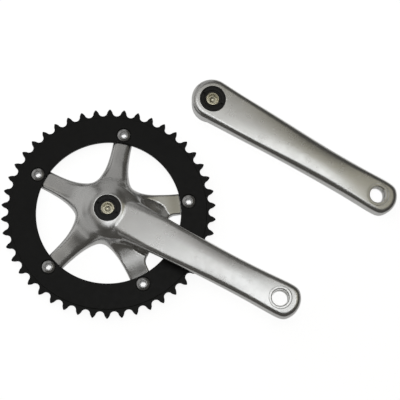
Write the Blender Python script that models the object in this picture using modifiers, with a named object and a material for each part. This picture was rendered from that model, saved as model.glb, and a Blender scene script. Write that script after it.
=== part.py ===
"""Track-bicycle crankset with self-extracting crank bolts, laid out on a bench with its outer faces up.

Z is the drive side's crank axis, pointing outward. X runs along the drive-side arm towards its pedal eye.
Z = 0 is the bench, under the back of the hub boss and the backs of the chainring nuts.
"""

import math

import bmesh
import bpy
from mathutils import Matrix, Vector

MM = 0.001
FIT = 0.1 * MM

# Turned shapes start off the X axis, so that none of their edges falls on an arm's middle plane.
SEAM = math.radians(2.0)

# Chain and chainring: half-inch pitch, 46 teeth.
TEETH = 46
CHAIN_PITCH = 12.7 * MM
PITCH_RADIUS = CHAIN_PITCH / (2 * math.sin(math.pi / TEETH))
ROLLER_RADIUS = 3.95 * MM
TIP_RADIUS = 95.4 * MM
TIP_HALF_WIDTH = 0.85 * MM
TOOTH_PHASE = math.radians(32.2)
TOOTH_HALF_THICKNESS = 1.5 * MM
TOOTH_CHAMFER = 0.6 * MM
RING_INNER_RADIUS = 64.5 * MM
RING_BODY_RADIUS = 87.4 * MM
RING_BACK = 5.8 * MM
RING_FACE = 9.8 * MM

# Spider: five tapering arms on a 144 mm bolt circle, ending in thin tabs behind the chainring.
SPIDER_ARMS = 5
BOLT_CIRCLE_RADIUS = 72.0 * MM
TAB_RADIUS = 8.6 * MM
SEAT_RADIUS = RING_INNER_RADIUS - 0.3 * MM
SPIDER_CORNER_RADIUS = 29.2 * MM
SPIDER_CORE_RADIUS = 18.0 * MM

# Outline of the drive side's hub, radius and height in millimetres, from its spot face round to its back.
HUB_OUTLINE = (
    (14.4, 25.6),
    (15.8, 24.6),
    (19.6, 22.9),
    (23.6, 20.5),
    (26.2, 18.4),
    (27.6, 16.5),
    (26.2, 9.8),
    (23.4, 8.4),
)

# Side webs that fill the corners beside the drive arm, each with a filleted outer end and a groove.
WEB_FACE = 10.0 * MM
WEB_BACK = 4.4 * MM
WEB_REACH = 66.0 * MM
WEB_HALF_WIDTH = 10.0 * MM
WEB_START_Y = 21.3 * MM
WEB_END_X = 51.7 * MM
WEB_END_Y = 22.1 * MM
WEB_END_RADIUS = 2.5 * MM
GROOVE_FLOOR = 7.0 * MM
GROOVE_ROOT = 8.0 * MM

# Outer edge of each groove, in millimetres along the drive arm and out from its middle.
UPPER_GROOVE = (
    (21, 23.8),
    (24, 25.5),
    (27, 26.5),
    (31, 27.4),
    (36, 27.9),
    (41, 27.4),
    (44, 25.6),
    (47, 23.4),
    (50, 22.6),
)
LOWER_GROOVE = ((28, 16.0), (30, 17.6), (32, 18.6), (36, 19.5), (50, 19.5))

# Crank arms: 170 mm between the crank axis and the pedal axis.
CRANK_LENGTH = 170.0 * MM
HUB_END_RADIUS = 18.7 * MM
DRIVE_HUB_END_RADIUS = 14.2 * MM
HUB_FACE = 25.6 * MM
BOSS_RADIUS = 16.2 * MM
BOSS_EDGE = 0.6 * MM
PEDAL_FACE = 32.6 * MM
PEDAL_BACK = 21.4 * MM
PEDAL_HOLE_RADIUS = 7.0 * MM
PEDAL_MOUTH_RADIUS = 8.2 * MM
PEDAL_SPOT_RADIUS = 10.9 * MM

# Square taper socket, 2 degrees a side, and the bore of the 23.35 mm extractor thread above it.
SOCKET_HALF_WIDTH = 6.45 * MM
SOCKET_DEPTH = 15.5 * MM
SOCKET_TAPER = math.radians(2.0)
BORE_RADIUS = 11.7 * MM
BORE_CHAMFER = 0.4 * MM

# Captive crank bolt, its washers and the cap, stacked upwards from the seat at the socket's end.
WASHER_RADIUS = 10.2 * MM
WASHER_HOLE_RADIUS = 4.3 * MM
WASHER_HEIGHT = 1.6 * MM
BOLT_SHANK_RADIUS = 4.0 * MM
BOLT_SHANK_END = 3.0 * MM
BOLT_FLANGE_RADIUS = 9.6 * MM
BOLT_FLANGE_HEIGHT = 3.0 * MM
BOLT_BARREL_RADIUS = 5.8 * MM
BOLT_TOP = 25.1 * MM
BOLT_EDGE = 0.5 * MM
BOLT_HEX_WIDTH = 8.0 * MM
BOLT_HEX_DEPTH = 4.4 * MM
BOLT_FLOAT = 1.0 * MM
THRUST_HEIGHT = 0.8 * MM
CAP_RADIUS = BORE_RADIUS - FIT
CAP_HOLE_RADIUS = 6.2 * MM
CAP_TOP = 25.3 * MM
CAP_LIP_RADIUS = 8.0 * MM
CAP_LIP_DROP = 0.5 * MM
CAP_PIN_RADIUS = 1.1 * MM
CAP_PIN_CIRCLE = 9.3 * MM
CAP_PIN_DEPTH = 1.6 * MM
WASHER_LOW = SOCKET_DEPTH + FIT
FLANGE_LOW = WASHER_LOW + WASHER_HEIGHT + FIT
FLANGE_TOP = FLANGE_LOW + BOLT_FLANGE_HEIGHT
THRUST_LOW = FLANGE_TOP + BOLT_FLOAT + FIT
CAP_LOW = THRUST_LOW + THRUST_HEIGHT + FIT

# Chainring bolts with 5 mm through hexes, in sleeve nuts.
RING_HOLE_RADIUS = 5.1 * MM
RING_SINK_RADIUS = 6.4 * MM
RING_SINK_DEPTH = 1.0 * MM
RING_BOLT_HEAD_RADIUS = 6.1 * MM
RING_BOLT_HEAD_HEIGHT = 1.9 * MM
RING_BOLT_FLAT_RADIUS = 3.4 * MM
RING_BOLT_DOME_RADIUS = 5.2 * MM
RING_BOLT_DOME_HEIGHT = 1.5 * MM
RING_BOLT_RIM_HEIGHT = 0.8 * MM
RING_BOLT_SHANK_RADIUS = 3.9 * MM
RING_BOLT_END = 2.4 * MM
RING_BOLT_HEX_WIDTH = 5.0 * MM
NUT_FLANGE_RADIUS = 6.2 * MM
NUT_FLANGE_HEIGHT = 1.5 * MM
NUT_SLEEVE_RADIUS = 5.0 * MM
NUT_SLEEVE_END = 8.3 * MM
NUT_BORE_RADIUS = 4.0 * MM
NUT_SLOT_WIDTH = 2.2 * MM
NUT_SLOT_DEPTH = 0.7 * MM

# The left arm lies beside the drive side, turned a little and tipped onto its pedal end.
LEFT_HUB_X = 31.3 * MM
LEFT_HUB_Y = 132.1 * MM
LEFT_TURN = math.radians(-1.7)

# Half width, face height and back height along a crank arm, in millimetres from the crank axis.
ARM_WIDTH = (
    (0, 18.7),
    (20, 17.8),
    (50, 16.9),
    (75, 16.3),
    (100, 15.5),
    (125, 14.9),
    (145, 14.7),
    (170, 15.3),
)
ARM_FACE = ((0, 25.4), (25, 26.1), (50, 27.2), (75, 28.4), (100, 29.7), (125, 31.2), (150, 32.6), (170, 33.5))
ARM_BACK = ((0, 4.0), (30, 7.0), (50, 10.8), (62, 13.0), (80, 14.6), (120, 17.6), (170, 21.0))
# How much narrower each side of the arm is at its back: the forging's draft.
ARM_DRAFT = ((0, 2.4), (30, 2.1), (60, 1.8), (85, 1.7), (105, 1.3), (130, 0.7), (155, 0.1), (170, 0.0))
ARM_STATIONS = [10 * k * MM for k in range(1, 16)]

# Reach of the arm's pedal end from the pedal axis, in millimetres by the angle off the arm's length.
PEDAL_END = ((0, 18.1), (15, 18.1), (30, 18.0), (45, 17.8), (60, 17.0), (75, 15.9), (90, 15.3))

# Half width and face height along a spider arm, in millimetres from the crank axis.
SPIDER_WIDTH = ((24, 16.1), (28, 14.0), (34, 11.6), (41, 9.9), (52, 8.7), (72, 8.6))
SPIDER_FACE = ((18, 22.4), (24, 20.0), (28, 17.8), (36, 14.2), (45, 11.5), (55, 9.9), (72, 9.2))
SPIDER_BACK = ((18, 9.6), (28, 8.0), (40, 4.6), (52, 2.2), (60, 1.6), (72, 1.6))
SPIDER_STATIONS = [k * MM for k in (24, 27, 31, 36, 42, 50, 59, 67)]

# Levels of a forged bar from the middle of its back to the middle of its face:
# the side that the height is counted from, the share of the half width, the height in millimetres.
FORGED_LEVELS = (
    ("back", 0.0, 0.0),
    ("back", 0.88, 0.0),
    ("back", 0.97, 0.5),
    ("back", 1.0, 1.6),
    ("face", 0.99, 4.4),
    ("face", 0.965, 2.7),
    ("face", 0.9, 1.3),
    ("face", 0.68, 0.4),
    ("face", 0.0, 0.0),
)

for old in list(bpy.data.objects):
    bpy.data.objects.remove(old, do_unlink=True)

parts = bpy.data.collections.new("bicycle_crankset")
cutters = bpy.data.collections.new("cutters")
bpy.context.scene.collection.children.link(parts)
bpy.context.scene.collection.children.link(cutters)


def surface(name, colour, roughness, metallic):
    made = bpy.data.materials.new(name)
    made.use_nodes = True
    shader = made.node_tree.nodes["Principled BSDF"]
    shader.inputs["Base Color"].default_value = (*colour, 1.0)
    shader.inputs["Roughness"].default_value = roughness
    shader.inputs["Metallic"].default_value = metallic
    return made


satin_aluminium = surface("satin_aluminium", (0.62, 0.62, 0.61), 0.35, 1.0)
black_anodised = surface("black_anodised", (0.02, 0.02, 0.02), 0.45, 0.6)
polished_alloy = surface("polished_alloy", (0.6, 0.6, 0.6), 0.25, 1.0)
zinc_steel = surface("zinc_steel", (0.62, 0.6, 0.5), 0.3, 1.0)
nylon = surface("nylon", (0.75, 0.74, 0.7), 0.5, 0.0)


def add(name, mesh, material):
    """A named object: a part when it has a material, otherwise a hidden cutter."""
    made = bpy.data.objects.new(name, mesh)
    if material:
        mesh.materials.append(material)
        parts.objects.link(made)
    else:
        cutters.objects.link(made)
        made.display_type = "WIRE"
        made.hide_render = True
    return made


def finished_mesh(name, build):
    bmesh.ops.recalc_face_normals(build, faces=build.faces)
    mesh = bpy.data.meshes.new(name)
    build.to_mesh(mesh)
    build.free()
    mesh.shade_smooth()
    mesh.set_sharp_from_angle(angle=math.radians(35))
    return mesh


def turned(name, profile, material=None, segments=48, closed=False):
    """A turned solid: (radius, height) points that run down the outer side, swept by a Screw modifier."""
    mesh = bpy.data.meshes.new(name)
    edges = [(i, i + 1) for i in range(len(profile) - 1)]
    if closed:
        edges.append((len(profile) - 1, 0))
    points = [(radius * math.cos(SEAM), radius * math.sin(SEAM), height) for radius, height in profile]
    mesh.from_pydata(points, edges, [])
    made = add(name, mesh, material)
    screw = made.modifiers.new("turn", "SCREW")
    screw.steps = segments
    screw.render_steps = segments
    screw.use_merge_vertices = True
    screw.merge_threshold = 0.00001
    return made


def cylinder(name, radius, low, high, segments):
    return turned(name, [(0, high), (radius, high), (radius, low), (0, low)], None, segments)


def prism(name, outline, low, high):
    """A cutter or an addition: a flat outline drawn up from one height to another."""
    build = bmesh.new()
    base = build.faces.new([build.verts.new((x, y, low)) for x, y in outline])
    drawn = bmesh.ops.extrude_face_region(build, geom=[base])["geom"]
    raised = [item for item in drawn if isinstance(item, bmesh.types.BMVert)]
    bmesh.ops.translate(build, verts=raised, vec=(0, 0, high - low))
    return add(name, finished_mesh(name, build), None)


def lofted(name, loops, material=None):
    """A skin over closed loops of equal count; end loops that shrink to lines close it."""
    build = bmesh.new()
    rows = [[build.verts.new(point) for point in loop] for loop in loops]
    count = len(rows[0])
    for lower, upper in zip(rows, rows[1:]):
        for i in range(count):
            j = (i + 1) % count
            build.faces.new((lower[i], lower[j], upper[j], upper[i]))
    bmesh.ops.remove_doubles(build, verts=build.verts, dist=1e-6)
    bmesh.ops.holes_fill(build, edges=build.edges, sides=0)
    return add(name, finished_mesh(name, build), material)


def combine(target, other, operation):
    step = target.modifiers.new(operation.lower(), "BOOLEAN")
    step.operation = operation
    step.solver = "EXACT"
    step.object = other


def arc(start, end, count):
    return [math.radians(start + (end - start) * k / (count - 1)) for k in range(count)]


def hexagon(width):
    corner = width / math.sqrt(3)
    return [(corner * math.cos(k * math.pi / 3), corner * math.sin(k * math.pi / 3)) for k in range(6)]


def through(points, position):
    """A smooth curve through a few (position, value) points in millimetres, asked and read in metres."""
    x = position / MM
    last = len(points) - 1
    i = max(k for k in range(last) if k == 0 or points[k][0] <= x)
    (x0, v0), (x1, v1) = points[i], points[i + 1]
    before = points[max(i - 1, 0)]
    after = points[min(i + 2, last)]
    span = x1 - x0
    t = min(max((x - x0) / span, 0.0), 1.0)
    rise0 = span * (v1 - before[1]) / (x1 - before[0])
    rise1 = span * (after[1] - v0) / (after[0] - x0)
    drop = v0 - v1
    value = v0 + rise0 * t + (-3 * drop - 2 * rise0 - rise1) * t**2 + (2 * drop + rise0 + rise1) * t**3
    return value * MM


def forged(name, rim, face, back, draft, material=None):
    """A forging lofted between outlines that shrink towards its spine, flat behind and crowned in front.

    Each point of the rim has its place on the spine, its reach from there and its distance along the arm.
    The draft is what the sides lose at the back.
    """
    loops = []
    for side, share, height in FORGED_LEVELS:
        level = back if side == "back" else face
        step = height * MM if side == "back" else -height * MM
        loop = []
        for spine, reach, along in rim:
            kept = 1 - draft(along) / reach.length if side == "back" else 1
            place = spine + reach * share * kept
            loop.append((place.x, place.y, level(along) + step))
        loops.append(loop)
    return lofted(name, loops, material)


def rounded(radius, start, end, count):
    return [Vector((radius * math.cos(a), radius * math.sin(a))) for a in arc(start, end, count)]


def crank_bar(name, hub_radius, material=None):
    """The crank arm from hub to pedal eye: straight tapering sides between a round end and a blunt one."""
    hub = Vector((0, 0))
    pedal = Vector((CRANK_LENGTH, 0))
    rim = [(hub, reach, 0) for reach in rounded(hub_radius, 270, 90, 13)]
    rim += [(Vector((x, 0)), Vector((0, through(ARM_WIDTH, x))), x) for x in ARM_STATIONS]
    for degrees in range(90, -91, -15):
        ahead = Vector((through(PEDAL_END, abs(degrees) * MM), 0))
        rim.append((pedal, Matrix.Rotation(math.radians(degrees), 2) @ ahead, CRANK_LENGTH))
    rim += [(Vector((x, 0)), Vector((0, -through(ARM_WIDTH, x))), x) for x in reversed(ARM_STATIONS)]
    levels = [lambda x, table=table: through(table, x) for table in (ARM_FACE, ARM_BACK, ARM_DRAFT)]
    return forged(name, rim, *levels, material)


def spider(name):
    """Five flared arms in one star, each ending in a tab round its bolt hole."""
    rim = []
    for k in range(SPIDER_ARMS):
        turn = Matrix.Rotation((2 * k + 1) * math.pi / SPIDER_ARMS, 2)
        corner = Matrix.Rotation((2 * k + 2) * math.pi / SPIDER_ARMS, 2) @ Vector((SPIDER_CORE_RADIUS, 0))
        tab = turn @ Vector((BOLT_CIRCLE_RADIUS, 0))
        for x in SPIDER_STATIONS:
            rim.append((turn @ Vector((x, 0)), turn @ Vector((0, -through(SPIDER_WIDTH, x))), x))
        for reach in rounded(TAB_RADIUS, -90, 90, 8):
            rim.append((tab, turn @ reach, BOLT_CIRCLE_RADIUS))
        for x in reversed(SPIDER_STATIONS):
            rim.append((turn @ Vector((x, 0)), turn @ Vector((0, through(SPIDER_WIDTH, x))), x))
        swell = SPIDER_CORNER_RADIUS / SPIDER_CORE_RADIUS - 1
        rim.append((corner, corner * swell, SPIDER_STATIONS[0]))
    levels = [lambda x, table=table: through(table, x) for table in (SPIDER_FACE, SPIDER_BACK)]
    return forged(name, rim, *levels, lambda x: 0)


def side_web(name, side):
    """The plate between the drive arm and its neighbour on the spider, with a filleted outer end."""
    lean = 180 / SPIDER_ARMS
    turn = Matrix.Rotation(math.radians(lean), 2)
    outline = [(BORE_RADIUS, 0.0), (BORE_RADIUS, WEB_START_Y)]
    outline += [tuple(turn @ Vector((WEB_REACH, y))) for y in (0.0, -WEB_HALF_WIDTH)]
    for a in arc(90 + lean, 180, 6):
        outline.append((WEB_END_X + WEB_END_RADIUS * math.cos(a), WEB_END_Y + WEB_END_RADIUS * math.sin(a)))
    outline.append((WEB_END_X - WEB_END_RADIUS, 0.0))
    return prism(name, [(x, y * side) for x, y in outline], WEB_BACK, WEB_FACE)


def groove_cutter(name, edge, side):
    """A recess beside the drive arm, open to the web's outer end."""
    outline = [(x * MM, y * MM) for x, y in edge]
    outline = [(outline[0][0], GROOVE_ROOT), *outline, (outline[-1][0], GROOVE_ROOT)]
    return prism(name, [(x, y * side) for x, y in outline], GROOVE_FLOOR, HUB_FACE)


def pedal_eye_cutter(name):
    """Spot faces on both sides, a chamfered mouth and the straight hole between them."""
    beyond = 8 * MM
    profile = [
        (0, PEDAL_FACE + beyond),
        (PEDAL_SPOT_RADIUS, PEDAL_FACE + beyond),
        (PEDAL_SPOT_RADIUS, PEDAL_FACE),
        (PEDAL_MOUTH_RADIUS, PEDAL_FACE),
        (PEDAL_HOLE_RADIUS, PEDAL_FACE - PEDAL_MOUTH_RADIUS + PEDAL_HOLE_RADIUS),
        (PEDAL_HOLE_RADIUS, PEDAL_BACK),
        (PEDAL_SPOT_RADIUS, PEDAL_BACK),
        (PEDAL_SPOT_RADIUS, PEDAL_BACK - beyond),
        (0, PEDAL_BACK - beyond),
    ]
    made = turned(name, profile, segments=40)
    made.location.x = CRANK_LENGTH
    return made


def taper_socket_cutter(name):
    """The square hole that seats on the spindle, narrowing outwards."""
    loops = []
    for z, share in ((-MM, 0), (-MM, 1), (SOCKET_DEPTH + MM, 1), (SOCKET_DEPTH + MM, 0)):
        half = share * (SOCKET_HALF_WIDTH - z * math.tan(SOCKET_TAPER))
        loops.append([(half, half, z), (-half, half, z), (-half, -half, z), (half, -half, z)])
    return lofted(name, loops)


def extractor_bore_cutter(name):
    beyond = 4 * MM
    profile = [
        (0, HUB_FACE + beyond),
        (BORE_RADIUS + BORE_CHAMFER + beyond, HUB_FACE + beyond),
        (BORE_RADIUS, HUB_FACE - BORE_CHAMFER),
        (BORE_RADIUS, SOCKET_DEPTH),
        (0, SOCKET_DEPTH),
    ]
    return turned(name, profile, segments=40)


def bore_arm(arm, side):
    """The machined holes that both arms share."""
    for cutter in (pedal_eye_cutter, taper_socket_cutter, extractor_bore_cutter):
        combine(arm, cutter(f"{side}_{cutter.__name__}"), "DIFFERENCE")


def right_crank_arm():
    """Hub, five spider arms and crank arm, forged in one piece, then machined."""
    hub = turned(
        "right_crank_arm",
        [
            (0, HUB_FACE),
            *((radius * MM, height * MM) for radius, height in HUB_OUTLINE),
            (BOSS_RADIUS, HUB_OUTLINE[-1][1] * MM),
            (BOSS_RADIUS, BOSS_EDGE),
            (BOSS_RADIUS - BOSS_EDGE, 0),
            (0, 0),
        ],
        satin_aluminium,
    )
    combine(hub, spider("spider"), "UNION")
    for side, label, edge in ((1, "upper", UPPER_GROOVE), (-1, "lower", LOWER_GROOVE)):
        combine(hub, side_web(f"{label}_side_web", side), "UNION")
        combine(hub, groove_cutter(f"{label}_groove", edge, side), "DIFFERENCE")
    seat = [
        (SEAT_RADIUS, WEB_FACE + MM),
        (TIP_RADIUS, WEB_FACE + MM),
        (TIP_RADIUS, RING_BACK - FIT),
        (SEAT_RADIUS, RING_BACK - FIT),
    ]
    combine(hub, turned("ring_seat_cutter", seat, segments=96, closed=True), "DIFFERENCE")
    for k, place in enumerate(bolt_places()):
        hole = cylinder(f"tab_hole_{k + 1}", RING_HOLE_RADIUS, -MM, RING_FACE, 20)
        hole.location = place
        combine(hub, hole, "DIFFERENCE")
    combine(hub, crank_bar("right_crank_bar", DRIVE_HUB_END_RADIUS), "UNION")
    bore_arm(hub, "right")
    return hub


def left_crank_arm():
    """The plain arm: the same bar on a round boss."""
    arm = crank_bar("left_crank_arm", HUB_END_RADIUS, satin_aluminium)
    boss = [
        (0, HUB_FACE / 2),
        (BOSS_RADIUS, HUB_FACE / 2),
        (BOSS_RADIUS, BOSS_EDGE),
        (BOSS_RADIUS - BOSS_EDGE, 0),
        (0, 0),
    ]
    combine(arm, turned("left_boss", boss), "UNION")
    bore_arm(arm, "left")
    return arm


def bolt_places():
    for k in range(SPIDER_ARMS):
        angle = (2 * k + 1) * math.pi / SPIDER_ARMS
        yield Vector((BOLT_CIRCLE_RADIUS * math.cos(angle), BOLT_CIRCLE_RADIUS * math.sin(angle), 0))


def tooth_outline(shrink):
    """The toothed rim: an arc round each roller seat, then a flat tip halfway to the next."""
    step = 2 * math.pi / TEETH
    tip_radius = TIP_RADIUS - shrink
    seat_radius = ROLLER_RADIUS + shrink * 0.4
    points = []
    for k in range(TEETH):
        seat = TOOTH_PHASE + (k + 0.5) * step
        for a in arc(-62, 62, 3):
            radius = PITCH_RADIUS - seat_radius * math.cos(a)
            turn = seat + seat_radius * math.sin(a) / radius
            points.append((radius * math.cos(turn), radius * math.sin(turn)))
        tip = seat + step / 2
        for side in (-1, 1):
            turn = tip + side * TIP_HALF_WIDTH / tip_radius
            points.append((tip_radius * math.cos(turn), tip_radius * math.sin(turn)))
    return points


def chainring():
    """The ring body with its thinner toothed band, chamfered on both sides of the teeth."""
    middle = (RING_BACK + RING_FACE) / 2
    rim = tooth_outline(0.0)
    chamfered = tooth_outline(TOOTH_CHAMFER)
    turns = [math.atan2(y, x) for x, y in rim]

    def circle(radius, z):
        return [(radius * math.cos(a), radius * math.sin(a), z) for a in turns]

    def teeth(outline, z):
        return [(x, y, z) for x, y in outline]

    low = middle - TOOTH_HALF_THICKNESS
    high = middle + TOOTH_HALF_THICKNESS
    loops = [
        circle(RING_INNER_RADIUS, RING_BACK),
        circle(RING_BODY_RADIUS, RING_BACK),
        teeth(chamfered, low),
        teeth(rim, low + TOOTH_CHAMFER),
        teeth(rim, high - TOOTH_CHAMFER),
        teeth(chamfered, high),
        circle(RING_BODY_RADIUS, RING_FACE),
        circle(RING_INNER_RADIUS, RING_FACE),
        circle(RING_INNER_RADIUS, RING_BACK),
    ]
    ring = lofted("chainring", loops, black_anodised)
    for k, place in enumerate(bolt_places()):
        profile = [
            (0, RING_FACE + MM),
            (RING_SINK_RADIUS, RING_FACE + MM),
            (RING_SINK_RADIUS, RING_FACE - RING_SINK_DEPTH),
            (RING_HOLE_RADIUS, RING_FACE - RING_SINK_DEPTH),
            (RING_HOLE_RADIUS, RING_BACK - MM),
            (0, RING_BACK - MM),
        ]
        hole = turned(f"ring_hole_{k + 1}", profile, segments=24)
        hole.location = place
        combine(ring, hole, "DIFFERENCE")
    return ring


def chainring_bolt(number, place):
    head = RING_FACE - RING_SINK_DEPTH + FIT
    profile = [
        (0, head + RING_BOLT_HEAD_HEIGHT),
        (RING_BOLT_FLAT_RADIUS, head + RING_BOLT_HEAD_HEIGHT),
        (RING_BOLT_DOME_RADIUS, head + RING_BOLT_DOME_HEIGHT),
        (RING_BOLT_HEAD_RADIUS, head + RING_BOLT_RIM_HEIGHT),
        (RING_BOLT_HEAD_RADIUS, head),
        (RING_BOLT_SHANK_RADIUS, head),
        (RING_BOLT_SHANK_RADIUS, RING_BOLT_END),
        (0, RING_BOLT_END),
    ]
    bolt = turned(f"chainring_bolt_{number}", profile, polished_alloy, segments=16)
    bolt.location = place
    key = prism(f"ring_bolt_hex_{number}", hexagon(RING_BOLT_HEX_WIDTH), 0, HUB_FACE)
    key.location = place
    combine(bolt, key, "DIFFERENCE")


def chainring_nut(number, place):
    profile = [
        (NUT_BORE_RADIUS, NUT_SLEEVE_END),
        (NUT_SLEEVE_RADIUS, NUT_SLEEVE_END),
        (NUT_SLEEVE_RADIUS, NUT_FLANGE_HEIGHT),
        (NUT_FLANGE_RADIUS, NUT_FLANGE_HEIGHT),
        (NUT_FLANGE_RADIUS, 0),
        (NUT_BORE_RADIUS, 0),
    ]
    nut = turned(f"chainring_nut_{number}", profile, polished_alloy, segments=14, closed=True)
    nut.location = place
    half = NUT_SLOT_WIDTH / 2
    reach = NUT_FLANGE_RADIUS + MM
    outline = [(-reach, -half), (reach, -half), (reach, half), (-reach, half)]
    slot = prism(f"nut_slot_{number}", outline, -MM, NUT_SLOT_DEPTH)
    slot.location = place
    slot.rotation_euler.z = math.atan2(place.y, place.x)
    combine(nut, slot, "DIFFERENCE")


def crank_bolt(side):
    profile = [
        (0, BOLT_TOP),
        (BOLT_BARREL_RADIUS - BOLT_EDGE, BOLT_TOP),
        (BOLT_BARREL_RADIUS, BOLT_TOP - BOLT_EDGE),
        (BOLT_BARREL_RADIUS, FLANGE_TOP),
        (BOLT_FLANGE_RADIUS, FLANGE_TOP),
        (BOLT_FLANGE_RADIUS, FLANGE_LOW),
        (BOLT_SHANK_RADIUS, FLANGE_LOW),
        (BOLT_SHANK_RADIUS, BOLT_SHANK_END + BOLT_EDGE),
        (BOLT_SHANK_RADIUS - BOLT_EDGE, BOLT_SHANK_END),
        (0, BOLT_SHANK_END),
    ]
    bolt = turned(f"{side}_crank_bolt", profile, zinc_steel, segments=24)
    key = prism(f"{side}_bolt_hex", hexagon(BOLT_HEX_WIDTH), BOLT_TOP - BOLT_HEX_DEPTH, HUB_FACE + MM)
    combine(bolt, key, "DIFFERENCE")
    return bolt


def flat_ring(name, inner, outer, low, height, material):
    profile = [(inner, low + height), (outer, low + height), (outer, low), (inner, low)]
    return turned(name, profile, material, segments=24, closed=True)


def extractor_cap(side):
    """The threaded ring over the bolt's flange, with a dished rim and two pin holes."""
    profile = [
        (CAP_HOLE_RADIUS, CAP_TOP - CAP_LIP_DROP),
        (CAP_LIP_RADIUS, CAP_TOP - CAP_LIP_DROP),
        (CAP_LIP_RADIUS + CAP_LIP_DROP, CAP_TOP),
        (CAP_RADIUS - CAP_LIP_DROP, CAP_TOP),
        (CAP_RADIUS, CAP_TOP - CAP_LIP_DROP),
        (CAP_RADIUS, CAP_LOW),
        (CAP_HOLE_RADIUS, CAP_LOW),
    ]
    cap = turned(f"{side}_extractor_cap", profile, black_anodised, segments=24, closed=True)
    for k in range(2):
        floor = CAP_TOP - CAP_PIN_DEPTH
        hole = cylinder(f"{side}_pin_hole_{k + 1}", CAP_PIN_RADIUS, floor, HUB_FACE + MM, 12)
        hole.location.x = CAP_PIN_CIRCLE * (1 - 2 * k)
        combine(cap, hole, "DIFFERENCE")
    return cap


def bolt_stack(side):
    """Everything that the extractor bore holds, from the seat outwards."""
    hole = WASHER_HOLE_RADIUS
    flat_ring(f"{side}_bolt_washer", hole, WASHER_RADIUS, WASHER_LOW, WASHER_HEIGHT, zinc_steel)
    crank_bolt(side)
    flat_ring(f"{side}_thrust_washer", CAP_HOLE_RADIUS, WASHER_RADIUS, THRUST_LOW, THRUST_HEIGHT, nylon)
    extractor_cap(side)


def left_pose():
    """The left arm's rest: boss edge and pedal end both on the bench."""
    flat_share = FORGED_LEVELS[1][1]
    run = CRANK_LENGTH + flat_share * through(PEDAL_END, 0) - BOSS_RADIUS + BOSS_EDGE
    tip = math.atan2(through(ARM_BACK, CRANK_LENGTH), run)
    lift = (BOSS_RADIUS - BOSS_EDGE) * math.sin(tip)
    place = Matrix.Translation((LEFT_HUB_X, LEFT_HUB_Y, lift))
    return place @ Matrix.Rotation(LEFT_TURN, 4, "Z") @ Matrix.Rotation(tip, 4, "Y")


right_crank_arm()
chainring()
for index, spot in enumerate(bolt_places()):
    chainring_bolt(index + 1, spot)
    chainring_nut(index + 1, spot)
bolt_stack("right")

before = set(bpy.data.objects)
left_crank_arm()
bolt_stack("left")
left = bpy.data.objects.new("left_side", None)
parts.objects.link(left)
left.matrix_world = left_pose()
for item in set(bpy.data.objects) - before - {left}:
    item.parent = left
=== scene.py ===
import math

import bpy
import numpy as np
from mathutils import Matrix, Vector


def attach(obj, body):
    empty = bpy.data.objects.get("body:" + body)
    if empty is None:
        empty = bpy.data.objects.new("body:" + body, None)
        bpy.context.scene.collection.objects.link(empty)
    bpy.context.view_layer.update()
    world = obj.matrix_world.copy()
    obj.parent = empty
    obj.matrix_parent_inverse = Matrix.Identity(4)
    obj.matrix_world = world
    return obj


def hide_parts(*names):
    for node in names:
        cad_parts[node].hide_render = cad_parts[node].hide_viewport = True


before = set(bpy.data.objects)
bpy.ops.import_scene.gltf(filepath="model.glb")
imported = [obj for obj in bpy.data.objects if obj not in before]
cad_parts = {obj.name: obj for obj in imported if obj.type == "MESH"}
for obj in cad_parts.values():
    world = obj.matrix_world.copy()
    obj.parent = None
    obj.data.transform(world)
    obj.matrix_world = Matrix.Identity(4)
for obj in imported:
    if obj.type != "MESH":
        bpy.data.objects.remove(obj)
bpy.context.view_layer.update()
scene = bpy.context.scene
scene.view_settings.view_transform = "Standard"
mm = 0.001
print("frame loaded:", len(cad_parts), "nodes")


# sizes are in millimetres until a mesh is made
def makeObject(name, verts, faces):
    mesh = bpy.data.meshes.new(name)
    mesh.from_pydata((np.asarray(verts, float) * mm).tolist(), [], faces)
    mesh.update()
    made = bpy.data.objects.new(name, mesh)
    scene.collection.objects.link(made)
    return made


def applyModifiers(piece):
    depsgraph = bpy.context.evaluated_depsgraph_get()
    mesh = bpy.data.meshes.new_from_object(piece.evaluated_get(depsgraph))
    piece.modifiers.clear()
    piece.data = mesh
    mesh.name = piece.name


def shade(piece, angle=30):
    piece.data.shade_smooth()
    piece.data.set_sharp_from_angle(angle=math.radians(angle))


def dress(piece, material):
    piece.data.materials.clear()
    piece.data.materials.append(material)


def soften(profile, steps=5):
    # (radius, height, fillet) corners; a fillet becomes a short curve between its two sides
    points = []
    for i, corner in enumerate(profile):
        here = Vector(corner[:2])
        if len(corner) < 3:
            points.append(tuple(here))
            continue
        before = Vector(profile[i - 1][:2]) - here
        after = Vector(profile[(i + 1) % len(profile)][:2]) - here
        start = here + before.normalized() * corner[2]
        end = here + after.normalized() * corner[2]
        for k in range(steps + 1):
            t = k / steps
            points.append(tuple(start * (1 - t) ** 2 + here * 2 * t * (1 - t) + end * t * t))
    return points


def turned(name, profile, segments=96, closed=False):
    # profile runs from the top middle down the outer side; a closed one makes a ring
    verts, rows, faces = [], [], []
    for radius, height in profile:
        count = segments if radius > 1e-6 else 1
        rows.append(range(len(verts), len(verts) + count))
        for k in range(count):
            turn = 2 * math.pi * k / segments
            verts.append((radius * math.cos(turn), radius * math.sin(turn), height))
    pairs = list(zip(rows, rows[1:]))
    if closed:
        pairs.append((rows[-1], rows[0]))
    for upper, lower in pairs:
        for k in range(segments):
            n = (k + 1) % segments
            ring = (upper[k % len(upper)], lower[k % len(lower)],
                    lower[n % len(lower)], upper[n % len(upper)])
            face = tuple(dict.fromkeys(ring))
            if len(face) > 2:
                faces.append(face)
    return makeObject(name, verts, faces)


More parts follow.
